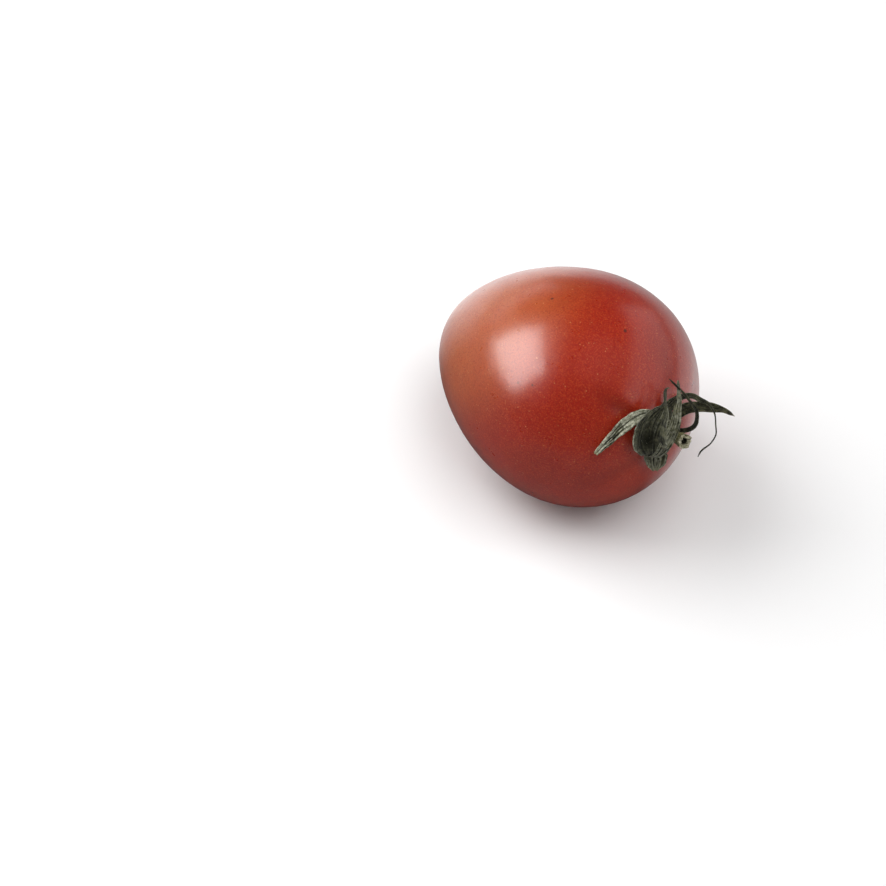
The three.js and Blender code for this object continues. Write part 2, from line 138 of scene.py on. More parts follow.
# How strongly each sepal shows pale streaks, and how strongly single veins and a painted rim light along its
# edges.
PALENESS = {"laid_back": 1.0, "broad": 0.14, "sickle": 0.38, "short": 0.32, "arch": 0.05,
            "reaching": 0.03, "narrow": 0.08}
VEINS_AND_RIM_LIGHT = {"laid_back": 0.3, "broad": 0.8, "sickle": 0.5, "short": 0.6, "arch": 0.3,
         "reaching": 0.3, "narrow": 0.3}

# A blade's mesh and thickness: rows along it, cells across, half the thickness at shares of its length.
BLADE_ROWS_PER_MM, BLADE_ROWS_MORE = 6, 12
BLADE_CELLS = 24
BLADE_BODY = [(0, 0.34), (0.25, 0.19), (1, 0.13)]
EDGE_THINNING = 0.72
# Its ends, in millimetres.
TIP_RUN, TIP_RUN_SHARE = 1.6, 0.2
FRAY_RUN, DRY_TIP_RUN = 1.0, 1.2
# Its relief, for each millimetre of half the width. Waves are height, turns, share of the seed, and the
# crumple is in layers as the skin's unevenness is.
EDGE_WAVES = [(0.10, 1.3, 1), (0.06, 2.9, 2)]
FRAY_WAVES = [(0.16, 5, 1), (0.12, 11, 2), (0.10, 17, 0)]
CRUMPLE = [(0.16, 0.55, 0), (0.07, 1.6, 4)]
RIB_HEIGHT, RIB_TURNS = 0.075, 2.5
MIDRIB_DEPTH, MIDRIB_WIDTH = 0.12, 0.13
VEIN_ASIDE = 0.22
# How far apart the sepals lie in their shared uv, so that no two look alike.
UV_SPACING = 7

# The knob in the dimple (radius, height) and the stalk (out, towards +Y, up, radius).
KNOB_PALENESS, KNOB_ACROSS = 0.3, 0.3
KNOB_LOBES, KNOB_SWELL = 7, 0.04
KNOB_UNEVENNESS = [(0.05, 1.2, 9)]
KNOB_OUTLINE = [(0, 0.4), (1.5, 0.55), (2.6, 0.85), (3.3, 1.2), (3.4, 1.5), (3.3, 1.75),
                (2.7, 2.3), (2.2, 2.55), (1.2, 2.6), (0, 2.6)]
STALK_LINE = [(1.9, 0, 0, 1.5), (4.4, 0.15, 0.3, 1.4), (6.9, 0.15, 0.35, 1.5), (8.9, -0.35, 1, 1.75)]
# The torn end, ring by ring inwards: share of the radius, raggedness, push outwards, waves of the lip,
# how torn, how much painted shade. Then the pith's rings, in painted shade: step along the stalk, share of
# the radius, push, how torn.
TORN_RINGS = [(0.94, 1.1, 0.06, 1, 1, 0), (0.80, 0.9, -0.10, 1.5, 1, 0), (0.66, 0.6, -0.05, -2, 1, 0),
              (0.54, 0.5, -0.15, 1, 1, 0.1), (0.44, 0.3, -0.35, -1, 0.8, 0.6)]
PITH_RINGS = [(118, 0.36, -0.45, 0.3), (110, 0.28, -0.6, 0)]
RAGGED_WAVES = [(0.22, 3, 1), (0.16, 7, 0), (0.10, 13, 2)]
LIP_WAVES = [(0.10, 17, 0), (0.08, 29, 1)]
STALK_STEPS = 120
COLLAR_STEP, TORN_FROM_STEP, PITH_FLOOR_STEP = 96, 108, 104
STALK_FLARE, COLLAR_SWELL, SWELL_STEPS = 0.55, 0.16, 9
STALK_UNEVENNESS = [(0.05, 1.1, 12), (0.025, 3.5, 13)]

# Hairs: sizes in metres, seeds, the most that they turn about each axis, and how much their size varies.
HAIR_SIZES = {"Hairs per square metre": 6.0e5, "Hair length": 0.0005, "Hair radius": 0.00001, "Lean": 0.6}
CALYX_LEAN = 0.7
HAIR_TIP_RADIUS = 0.000001
SCATTER_SEED, LEAN_SEED, SIZE_SEED = 11, 5, 8
HAIR_TURNS = (1, 1, 3)
HAIR_SIZE_RANGE = (0.4, 1.3)
# How far noise moves along for each seed.
NOISE_STEPS = (7.3, 3.1, 5.7)

# The camera's place and lens, from the photograph, in millimetres, and its near end, in metres.
CAMERA_AZIMUTH = math.radians(44)
CAMERA_ELEVATION = math.radians(54)
CAMERA_DISTANCE = 600.0
CAMERA_ASIDE = 28.4
CAMERA_BELOW = 15.85
CAMERA_LENS, CAMERA_SENSOR = 100.0, 36.0
CAMERA_CLIP = 0.01

# The studio, in metres. The card's cover is given in each direction, in degrees.
FLOOR_RADII = [0.30, 0.35, 0.40, 0.45, 0.50, 0.55, 0.60]
FLOOR_SIDES = 96
AIR_STRENGTH = 0.075
CARD_COVER = [(-180, 0.5), (-165, 1.0), (0, 1.0), (32, 0.15), (60, 0.25), (85, 0.6), (115, 0.6),
              (138, 0.0), (166, 0.0), (180, 0.5)]
CARD_NEAR, CARD_FAR, CARD_HEIGHT = 0.008, 1.2, 0.0006
CARD_STEPS = 120


def smoothstep(x, low, high):
    """From 0 at low to 1 at high, with a soft start and end."""
    t = np.clip((x - low) / (high - low), 0, 1)
    return t * t * (3 - 2 * t)


def furrow(turn, radius):
    """How deep the soft furrows are, in that direction and at that distance from the axis."""
    depth = np.zeros_like(turn * radius)
    for direction, deepest, half_width in FURROWS:
        away = (np.degrees(turn) - direction + 180) % 360 - 180
        depth = depth + deepest * np.exp(-((away / half_width) ** 2))
    return (depth * smoothstep(radius, FURROW_START, FURROW_FULL)
            * (1 - smoothstep(radius, FURROW_FADE, FURROW_END)))


def skin_point(s, turn):
    """The skin in the fruit's own frame: x along the axis, y towards +Y, z up."""
    plain = BODY_RADIUS * (1 - s * s) ** BODY_POWER * (1 + BODY_TAPER * s)
    swell = 1 + LOBE_SWELL * np.cos(LOBES * (turn - LOBE_TURN))
    crease = np.where(s > 0, furrow(turn, plain), 0)
    radius = plain * swell - crease * s
    dimple = np.where(s > 0, DIMPLE_DEPTH * np.exp(-((plain / DIMPLE_RADIUS) ** 2)), 0)
    scar = np.where(s < 0, SCAR_DEPTH * np.exp(-((plain / SCAR_RADIUS) ** 2)), 0)
    x = HALF_LENGTH * s - dimple + scar - crease * (1 - s)
    return np.stack([x + 0 * turn, radius * np.sin(turn), radius * np.cos(turn)], axis=-1), crease, plain


def lowest_point():
    """Where the tilted fruit reaches furthest down: its place along X and its height."""
    s = np.arange(-0.6, 0.4, 0.001)
    p = skin_point(s, np.full_like(s, math.pi))[0]
    height = p[:, 0] * math.sin(REST_TILT) + p[:, 2] * math.cos(REST_TILT)
    i = int(np.argmin(height))
    return p[i, 0] * math.cos(REST_TILT) - p[i, 2] * math.sin(REST_TILT), height[i]


rest_x, rest_z = lowest_point()
CENTRE = np.array([-rest_x, 0, -(rest_z + REST_FLAT_DEPTH)])
TILT = np.array([[math.cos(REST_TILT), 0, -math.sin(REST_TILT)],
                 [0, 1, 0],
                 [math.sin(REST_TILT), 0, math.cos(REST_TILT)]])


def placed(points, from_dimple=False):
    """The fruit's own millimetres as places in the shared frame, in metres."""
    p = np.asarray(points, float)
    if from_dimple:
        p = p + np.array([HALF_LENGTH - DIMPLE_DEPTH, 0, 0])
    return (p @ TILT.T + CENTRE) * MM


def mesh_piece(name, points, faces, material, uv=None, values=None):
    """A smooth piece from points in metres, with a uv and named values for each point."""
    mesh = bpy.data.meshes.new(name)
    mesh.from_pydata([tuple(p) for p in points], [], faces)
    mesh.materials.append(material)
    for polygon in mesh.polygons:
        polygon.use_smooth = True
    if uv is not None:
        layer = mesh.uv_layers.new(name="UVMap")
        for loop in mesh.loops:
            layer.data[loop.index].uv = uv[loop.vertex_index]
    for key, numbers in (values or {}).items():
        attribute = mesh.attributes.new(key, "FLOAT", "POINT")
        attribute.data.foreach_set("value", np.asarray(numbers, np.float32))
    mesh.validate()
    piece = bpy.data.objects.new(name, mesh)
    bpy.context.scene.collection.objects.link(piece)
    return piece


def ring_faces(rings, sides, first, last):
    """Quads between rings of points, with a fan at each end."""
    at = lambda ring, side: ring * sides + side % sides
    faces = []
    for side in range(sides):
        faces.append((first, at(0, side + 1), at(0, side)))
        for ring in range(rings - 1):
            faces.append((at(ring, side), at(ring, side + 1), at(ring + 1, side + 1), at(ring + 1, side)))
        faces.append((last, at(rings - 1, side), at(rings - 1, side + 1)))
    return faces


def outward(points, faces):
    """The same faces, turned where they enclose a negative volume."""
    p = np.asarray(points)
    volume = 0.0
    for face in faces:
        for i in range(1, len(face) - 1):
            volume += p[face[0]] @ np.cross(p[face[i]], p[face[i + 1]])
    return faces if volume > 0 else [tuple(reversed(face)) for face in faces]


def smooth_rows(rows, count):
    """Smooth curve through rows whose first three numbers are a point; values and directions."""
    k = np.array(rows, float)
    last = len(k) - 1
    at = np.concatenate([[0], np.cumsum(np.linalg.norm(np.diff(k[:, :3], axis=0), axis=1))])
    slopes = np.zeros_like(k)
    for i in range(last + 1):
        a, b = max(i - 1, 0), min(i + 1, last)
        if i in (a, b):
            slopes[i] = (k[b] - k[a]) / (at[b] - at[a])
        else:
            before, after = at[i] - at[a], at[b] - at[i]
            slopes[i] = ((k[i] - k[a]) / before * after + (k[b] - k[i]) / after * before) / (before + after)
    x = np.linspace(0, at[-1], count)
    i = np.clip(np.searchsorted(at, x, side="right") - 1, 0, last - 1)
    h = (at[i + 1] - at[i])[:, None]
    s = ((x - at[i]) / h[:, 0])[:, None]
    value = ((2 * s**3 - 3 * s**2 + 1) * k[i] + (s**3 - 2 * s**2 + s) * h * slopes[i]
             + (3 * s**2 - 2 * s**3) * k[i + 1] + (s**3 - s**2) * h * slopes[i + 1])
    along = ((6 * s * s - 6 * s) / h * (k[i] - k[i + 1]) + (3 * s * s - 4 * s + 1) * slopes[i]
             + (3 * s * s - 2 * s) * slopes[i + 1])[:, :3]
    along /= np.linalg.norm(along, axis=1)[:, None]
    return value, along, at[-1]


def unit(v):
    return v / np.linalg.norm(v, axis=-1, keepdims=True)


def unevenness(points, layers, seed=0):
    """Smooth noise, one number for each point, from layers of height, waves per unit and seed."""
    total = np.zeros(len(points))
    for height, waves, own_seed in layers:
        shift = Vector([(seed + own_seed) * step for step in NOISE_STEPS])
        total = total + height * np.array([noise.noise(Vector(p) * waves + shift) for p in points])
    return total


def sines(x, waves, seed=1):
    """A sum of sines, from waves of height, turns and share of the seed."""
    return sum(height * np.sin(turns * x + share * seed) for height, turns, share in waves)


# Materials


def material(name):
    m = bpy.data.materials.new(name)
    m.use_nodes = True
    tree = m.node_tree
    tree.nodes.clear()
    out = tree.nodes.new("ShaderNodeOutputMaterial")
    shader = tree.nodes.new("ShaderNodeBsdfPrincipled")
    tree.links.new(shader.outputs[0], out.inputs[0])
    return m, tree, shader


def object_place(tree):
    return tree.nodes.new("ShaderNodeTexCoord").outputs["Object"]


def stretched_uv(tree, along):
    """The piece's own UV map, in millimetres, drawn out along the piece."""
    uv = tree.nodes.new("ShaderNodeUVMap").outputs["UV"]
    stretch = tree.nodes.new("ShaderNodeMapping")
    stretch.inputs["Scale"].default_value = (1.0, along, 1.0)
    tree.links.new(uv, stretch.inputs["Vector"])
    return stretch.outputs[0]


def ramp(tree, source, stops, link=None):
    """A colour ramp fed by source; stops are (place, colour)."""
    node = tree.nodes.new("ShaderNodeValToRGB")
    elements = node.color_ramp.elements
    while len(elements) < len(stops):
        elements.new(0.5)
    for element, (place, colour) in zip(elements, stops):
        element.position = place
        element.color = (*colour, 1) if isinstance(colour, tuple) else (colour, colour, colour, 1)
    tree.links.new(source, node.inputs["Fac"])
    if link is not None:
        tree.links.new(node.outputs["Color"], link)
    return node.outputs["Color"]


def mix(tree, factor, a, b):
    """Colour a, turned to colour b by the factor."""
    node = tree.nodes.new("ShaderNodeMix")
    node.data_type = "RGBA"
    for socket, value in ((node.inputs["Factor"], factor), (node.inputs[6], a), (node.inputs[7], b)):
        if isinstance(value, bpy.types.NodeSocket):
            tree.links.new(value, socket)
        else:
            socket.default_value = (*value, 1)
    return node.outputs[2]


def maths(tree, operation, a, b=None):
    node = tree.nodes.new("ShaderNodeMath")
    node.operation = operation
    for socket, value in zip(node.inputs, (a, b)):
        if isinstance(value, bpy.types.NodeSocket):
            tree.links.new(value, socket)
        elif value is not None:
            socket.default_value = value
    return node.outputs[0]


def times(tree, a, b):
    return maths(tree, "MULTIPLY", a, b)


def plus(tree, a, b):
    return maths(tree, "ADD", a, b)


def larger(tree, a, b):
    return maths(tree, "MAXIMUM", a, b)


def attribute(tree, name):
    node = tree.nodes.new("ShaderNodeAttribute")
    node.attribute_name = name
    return node.outputs["Fac"]


def noise_of(tree, vector, scale, detail, roughness, distortion=0.0):
    """Soft noise; the scale is in waves per unit of the vector."""
    node = tree.nodes.new("ShaderNodeTexNoise")
    node.inputs["Scale"].default_value = scale
    node.inputs["Detail"].default_value = detail
    node.inputs["Roughness"].default_value = roughness
    node.inputs["Distortion"].default_value = distortion
    tree.links.new(vector, node.inputs["Vector"])
    return node.outputs["Fac"]


def spots_of(tree, vector, scale):
    """The distance to the nearest of many points strewn at random."""
    node = tree.nodes.new("ShaderNodeTexVoronoi")
    node.inputs["Scale"].default_value = scale
    tree.links.new(vector, node.inputs["Vector"])
    return node.outputs["Distance"]


def distance_to(tree, vector, point):
    node = tree.nodes.new("ShaderNodeVectorMath")
    node.operation = "DISTANCE"
    node.inputs[1].default_value = point
    tree.links.new(vector, node.inputs[0])
    return node.outputs["Value"]


def bump(tree, shader, height, distance, strength):
    node = tree.nodes.new("ShaderNodeBump")
    node.inputs["Distance"].default_value = distance
    node.inputs["Strength"].default_value = strength
    tree.links.new(height, node.inputs["Height"])
    tree.links.new(node.outputs[0], shader.inputs["Normal"])


def tomato_skin():
    m, tree, shader = material("tomato_skin")
    place = object_place(tree)
    deep_red, ripe_red, light_red = (0.255, 0.0080, 0.0034), (0.315, 0.0130, 0.0048), (0.375, 0.0240, 0.0078)
    orange, gold, grain_red = (0.46, 0.112, 0.024), (0.58, 0.092, 0.022), (0.20, 0.006, 0.003)
    pale_gold, pore_brown, mark_brown = (0.80, 0.42, 0.17), (0.10, 0.02, 0.01), (0.06, 0.015, 0.01)
    # the dark red on this line is painted shade for the dimple and the furrows; the brown is cork
    crease_shade_red, cork_brown = (0.10, 0.006, 0.004), (0.25, 0.115, 0.05)

    # clouds of red, and the orange blush on the side towards the key lamps: partly the skin's own colour,
    # partly painted light
    cloud = noise_of(tree, place, scale=28, detail=3, roughness=0.55, distortion=0.4)
    red = ramp(tree, cloud, [(0.30, deep_red), (0.50, ripe_red), (0.72, light_red)])
    patches = noise_of(tree, place, scale=70, detail=4, roughness=0.6, distortion=0.2)
    blush_and_painted_light = times(tree, attribute(tree, "blush_and_painted_light"), ramp(tree, patches, [(0.25, 0.6), (0.7, 1.0)]))
    colour = mix(tree, blush_and_painted_light, red, orange)

    # fine golden and dark grain under the skin, with a few brighter specks
    fine = noise_of(tree, place, scale=2900, detail=3, roughness=0.7)
    colour = mix(tree, ramp(tree, fine, [(0.46, 0.0), (0.66, 0.50)]), colour, gold)
    coarse = noise_of(tree, place, scale=2300, detail=3, roughness=0.7)
    colour = mix(tree, ramp(tree, coarse, [(0.34, 0.60), (0.50, 0.0)]), colour, grain_red)
    specks = ramp(tree, spots_of(tree, place, scale=1150), [(0.10, 1.0), (0.22, 0.0)])
    speck_areas = noise_of(tree, place, scale=420, detail=2, roughness=0.6)
    specks = times(tree, specks, ramp(tree, speck_areas, [(0.50, 0.0), (0.66, 1.0)]))
    colour = mix(tree, times(tree, specks, 0.45), colour, pale_gold)

    # a few small dark pores, and the single marks
    pores = ramp(tree, spots_of(tree, place, scale=95), [(0.020, 1.0), (0.036, 0.0)])
    colour = mix(tree, times(tree, pores, 0.75), colour, pore_brown)
    for out, side, height, reach in MARKS:
        off_mark = distance_to(tree, place, placed((out, side, height), from_dimple=True))
        near = ramp(tree, maths(tree, "DIVIDE", off_mark, reach * MM), [(0.45, 0.85), (1.0, 0.0)])
        colour = mix(tree, near, colour, mark_brown)

    # painted shade in the dimple and the furrows, cork on the blossom scar
    colour = mix(tree, attribute(tree, "shade"), colour, crease_shade_red)
    flakes = noise_of(tree, place, scale=900, detail=4, roughness=0.7)
    cork = times(tree, attribute(tree, "cork"), ramp(tree, flakes, [(0.3, 0.3), (0.6, 1.0)]))
    colour = mix(tree, cork, colour, cork_brown)
    tree.links.new(colour, shader.inputs["Base Color"])

    dull_spots = noise_of(tree, place, scale=320, detail=3, roughness=0.6)
    ramp(tree, dull_spots, [(0.3, 0.27), (0.75, 0.35)], shader.inputs["Roughness"])
    fine_bumps = noise_of(tree, place, scale=1300, detail=3, roughness=0.6)
    broad_bumps = noise_of(tree, place, scale=260, detail=2, roughness=0.5)
    bump(tree, shader, plus(tree, fine_bumps, times(tree, broad_bumps, 1.5)), distance=0.00003, strength=0.8)
    shader.inputs["Subsurface Weight"].default_value = 0.15
    shader.inputs["Subsurface Radius"].default_value = (1.0, 0.2, 0.1)
    shader.inputs["Subsurface Scale"].default_value = 0.003
    shader.inputs["IOR"].default_value = 1.46
    shader.inputs["Coat Weight"].default_value = 0.8
    shader.inputs["Coat Roughness"].default_value = 0.24
    return m


def dried_sepal():
    m, tree, shader = material("dried_sepal")
    place = object_place(tree)
    lengthwise = stretched_uv(tree, along=0.07)
    near_black, dull_green, grey_green = (0.003, 0.003, 0.0015), (0.021, 0.021, 0.010), (0.095, 0.094, 0.048)
    pale_green, parchment = (0.20, 0.203, 0.140), (0.60, 0.60, 0.465)
    # the second colour on the next line is painted shade for the cup and the thin sepals in shade
    midrib_green, painted_shade_green, straw = (0.016, 0.016, 0.008), (0.007, 0.007, 0.003), (0.40, 0.38, 0.22)

    ribs = noise_of(tree, lengthwise, scale=1.7, detail=2, roughness=0.6, distortion=0.1)
    fine_ribs = noise_of(tree, lengthwise, scale=3.4, detail=2, roughness=0.6, distortion=0.1)
    patches = noise_of(tree, place, scale=620, detail=4, roughness=0.7, distortion=0.5)
    grain = noise_of(tree, place, scale=1700, detail=2, roughness=0.75)
    mottled = plus(tree, times(tree, patches, 0.5), times(tree, grain, 0.5))
    mottled = plus(tree, times(tree, mottled, 0.6), times(tree, fine_ribs, 0.4))
    base = ramp(tree, mottled, [(0.42, near_black), (0.49, dull_green), (0.57, grey_green)])
    uneven = noise_of(tree, place, scale=1500, detail=2, roughness=0.6)
    light = ramp(tree, uneven, [(0.38, pale_green), (0.62, parchment)])

    # pale streaks along the blade, cut by dark lines
    paleness = attribute(tree, "paleness")
    wide_streaks = ramp(tree, ribs, [(0.44, 0.0), (0.50, 0.85), (0.58, 1.0)])
    fine_streaks = ramp(tree, fine_ribs, [(0.48, 0.0), (0.55, 1.0)])
    dark_lines = ramp(tree, fine_ribs, [(0.37, 0.30), (0.44, 1.0)])
    streaks = times(tree, larger(tree, wide_streaks, fine_streaks), dark_lines)
    streaks = times(tree, streaks, paleness)

    # one thin vein beside the midrib, and a painted rim light: a pale band along both edges
    side = attribute(tree, "across")
    off_midrib = maths(tree, "ABSOLUTE", side)
    off_vein = maths(tree, "ABSOLUTE", plus(tree, side, VEIN_ASIDE))
    gaps = noise_of(tree, place, scale=480, detail=3, roughness=0.6)
    broken = ramp(tree, gaps, [(0.35, 0.2), (0.60, 1.0)])
    vein = times(tree, ramp(tree, off_vein, [(0.015, 0.75), (0.055, 0.0)]), broken)
    painted_rim_light = times(tree, ramp(tree, off_midrib, [(0.88, 0.0), (0.96, 1.0)]), broken)
    veins_and_rim_light = times(tree, larger(tree, vein, painted_rim_light), attribute(tree, "veins_and_rim_light"))
    colour = mix(tree, larger(tree, streaks, veins_and_rim_light), base, light)

    # a dark midrib, painted shade in the broad sepal's cup and on the thin sepals in shade, straw-coloured
    # patches and tip
    midrib = times(tree, ramp(tree, off_midrib, [(0.05, 0.9), (0.11, 0.0)]), paleness)
    colour = mix(tree, midrib, colour, midrib_green)
    colour = mix(tree, attribute(tree, "hollow"), colour, painted_shade_green)
    dry_areas = noise_of(tree, place, scale=260, detail=3, roughness=0.6)
    dry = times(tree, ramp(tree, dry_areas, [(0.55, 0.0), (0.72, 0.5)]), 0.4)
    colour = mix(tree, larger(tree, dry, times(tree, attribute(tree, "tip"), broken)), colour, straw)
    tree.links.new(colour, shader.inputs["Base Color"])

    ramp(tree, mottled, [(0.3, 0.65), (0.7, 0.90)], shader.inputs["Roughness"])
    shader.inputs["Specular IOR Level"].default_value = 0.22
    shader.inputs["Sheen Weight"].default_value = 0.06
    shader.inputs["Sheen Roughness"].default_value = 0.5
    pits = times(tree, noise_of(tree, place, scale=2600, detail=3, roughness=0.7), 0.7)
    height = plus(tree, times(tree, ribs, 2.2), plus(tree, fine_ribs, pits))
    bump(tree, shader, height, distance=0.00016, strength=1.0)
    return m


def stalk_skin():
    m, tree, shader = material("stalk")
    place = object_place(tree)
    dark_bark, green_bark, light_bark = (0.022, 0.020, 0.008), (0.075, 0.070, 0.028), (0.17, 0.16, 0.075)
    rib_straw, fibre_brown, fibre_cream = (0.30, 0.29, 0.16), (0.045, 0.036, 0.015), (0.80, 0.75, 0.55)
    # painted shade for the hole in the pith
    pith_shade_black = (0.008, 0.007, 0.004)

    ribs = noise_of(tree, stretched_uv(tree, along=0.12), scale=5.0, detail=4, roughness=0.6, distortion=0.2)
    blotches = noise_of(tree, place, scale=600, detail=4, roughness=0.65, distortion=0.6)
    green = ramp(tree, blotches, [(0.30, dark_bark), (0.52, green_bark), (0.74, light_bark)])
    colour = mix(tree, ramp(tree, ribs, [(0.45, 0.0), (0.68, 0.55)]), green, rib_straw)

    # the torn fibres of the end, round the pith, which is painted near-black as shade in its hole
    uneven = noise_of(tree, place, scale=750, detail=2, roughness=0.6)
    torn = times(tree, attribute(tree, "torn"), ramp(tree, uneven, [(0.40, 0.35), (0.50, 1.0)]))
    fibres = noise_of(tree, place, scale=2400, detail=3, roughness=0.7)
    colour = mix(tree, torn, colour, ramp(tree, fibres, [(0.38, fibre_brown), (0.52, fibre_cream)]))
    colour = mix(tree, attribute(tree, "pith_shade"), colour, pith_shade_black)
    tree.links.new(colour, shader.inputs["Base Color"])

    shader.inputs["Roughness"].default_value = 0.78
    shader.inputs["Specular IOR Level"].default_value = 0.25
    pits = noise_of(tree, place, scale=2200, detail=3, roughness=0.7)
    bump(tree, shader, plus(tree, times(tree, ribs, 1.4), pits), distance=0.0001, strength=0.9)
    return m


def plain_paint(name, scale, dark, light, roughness):
    """A plain paint that is a little uneven."""
    m, tree, shader = material(name)
    uneven = noise_of(tree, object_place(tree), scale=scale, detail=2, roughness=0.5)
    ramp(tree, uneven, [(0.3, dark), (0.7, light)], shader.inputs["Base Color"])
    shader.inputs["Roughness"].default_value = roughness
    return m


def covering(m):
    """The paint covers only as much as the piece's cover values say."""
    tree = m.node_tree
    shader = next(node for node in tree.nodes if node.type == "BSDF_PRINCIPLED")
    tree.links.new(attribute(tree, "cover"), shader.inputs["Alpha"])
    return m


def pale_hair():
    return plain_paint("pale_hair", 900, (0.16, 0.165, 0.11), (0.42, 0.42, 0.33), roughness=0.5)


def dark_card():
    return covering(plain_paint("dark_card", 5, (0.08, 0.08, 0.08), (0.10, 0.10, 0.10), roughness=0.9))


def pale_floor():
    return covering(plain_paint("pale_floor", 3, (0.91, 0.91, 0.91), (0.92, 0.92, 0.92), roughness=0.9))


# The fruit


def make_fruit(skin):
    rings, sides = 230, 300
    t = np.arange(1, rings) / rings
    s = -np.cos(np.pi * (1 - (1 - t) ** RING_CROWDING))
    turn = 2 * np.pi * np.arange(sides) / sides
    grid, crease, plain = skin_point(s[:, None], turn[None, :])
    plain = np.broadcast_to(plain, crease.shape)
    points = np.concatenate([grid.reshape(-1, 3),
                             [[-HALF_LENGTH + SCAR_DEPTH, 0, 0], [HALF_LENGTH - DIMPLE_DEPTH, 0, 0]]])
    outwards = unit(points * np.array([OUTWARD_ALONG, 1, 1]))
    world = placed(points + outwards * unevenness(points, SKIN_UNEVENNESS)[:, None])
    # the skin lies flat on the floor, with a soft edge
    z = world[:, 2]
    world[:, 2] = 0.5 * (z + np.sqrt(z * z + FLOOR_SOFTNESS * FLOOR_SOFTNESS))
    blossom_pole, stem_pole = (rings - 1) * sides, (rings - 1) * sides + 1
    faces = outward(world, ring_faces(rings - 1, sides, blossom_pole, stem_pole))

    # painted shade in the dimple and the furrows, cork, and the orange blush with its painted light; the two
    # poles come last
    s_all = np.concatenate([np.repeat(s, sides), [-1, 1]])
    radii = np.concatenate([plain.ravel(), [0, 0]])
    creases = np.concatenate([crease.ravel(), [0, 0]])
    # painted shade, deepest round the stem and in the furrows
    stem = np.where(s_all > 0, np.exp(-((radii / STEM_SHADE_RADIUS) ** 2)), 0)
    shade = np.clip(STEM_SHADE * stem + FURROW_SHADE * creases, 0, MOST_SHADE)
    cork = np.where(s_all < 0, np.exp(-((radii / CORK_RADIUS) ** 2)), 0)
    # the blush and its painted light grow towards the key lamps' side
    towards = np.array(BLUSH_AND_LIGHT_TOWARDS)
    lit = unit(world - world.mean(axis=0)) @ (towards / np.linalg.norm(towards))
    blush_and_painted_light = BLUSH_AND_LIGHT_MOST * smoothstep(lit, BLUSH_AND_LIGHT_START, 1.0)
    return mesh_piece("tomato_fruit", world, faces, skin,
                      values={"shade": shade, "cork": cork, "blush_and_painted_light": blush_and_painted_light})


# The calyx


def blade_rows(sepal):
    """Points along a sepal's centre line, with their directions, half widths, facings and cups."""
    line = np.array(sepal["line"], float)
    share = np.linspace(0, 1, len(line))
    facings = np.stack([np.interp(share, np.linspace(0, 1, len(sepal["faces"])), axis)
                        for axis in zip(*sepal["faces"])], axis=1)
    cup = np.interp(share, np.linspace(0, 1, len(sepal["cup"])), sepal["cup"])
    rows = np.hstack([line, facings, cup[:, None]])
    rough_length = smooth_rows(rows, 10)[2]
    count = int(rough_length * BLADE_ROWS_PER_MM) + BLADE_ROWS_MORE
    return smooth_rows(rows, count)


def blade_lift(v, y, half, cup, flat, seed):
    """How far a blade stands off its flat middle: its cup, wavy edges, ribs, midrib and crumple."""
    wave = sines(y, EDGE_WAVES, seed) * np.minimum(half, 1.5)
    ribs = 0.6 * np.cos(2 * np.pi * RIB_TURNS * v) + 0.4 * np.cos(4 * np.pi * RIB_TURNS * v + seed)
    side = np.sign(v + 1e-9)
    lift = cup[:, None] * half[:, None] * v[None, :] ** 2
    lift = lift + wave[:, None] * np.abs(v)[None, :] ** 2.5 * side[None, :]
    lift = lift + RIB_HEIGHT * np.minimum(half, 1.2)[:, None] * ribs[None, :]
    lift = lift - MIDRIB_DEPTH * np.minimum(half, 1.0)[:, None] * np.exp(-((v / MIDRIB_WIDTH) ** 2))[None, :]
    crumple = unevenness(flat, CRUMPLE, seed).reshape(lift.shape)
    return lift + crumple * np.minimum(half, 1.0)[:, None]


def shell_faces(count, cells):
    """The faces of a thin shell: an upper and a lower grid of points, joined all round."""
    wide = cells + 1
    top = lambda row, cell: row * wide + cell
    under = lambda row, cell: count * wide + row * wide + cell
    faces = []
    for row in range(count - 1):
        for cell in range(cells):
            faces.append((top(row, cell), top(row, cell + 1), top(row + 1, cell + 1), top(row + 1, cell)))
            faces.append((under(row, cell), under(row + 1, cell), under(row + 1, cell + 1),
                          under(row, cell + 1)))
        faces.append((top(row, 0), top(row + 1, 0), under(row + 1, 0), under(row, 0)))
        faces.append((top(row, cells), under(row, cells), under(row + 1, cells), top(row + 1, cells)))
    end = count - 1
    for cell in range(cells):
        faces.append((top(0, cell), under(0, cell), under(0, cell + 1), top(0, cell + 1)))
        faces.append((top(end, cell), top(end, cell + 1), under(end, cell + 1), under(end, cell)))
    return faces


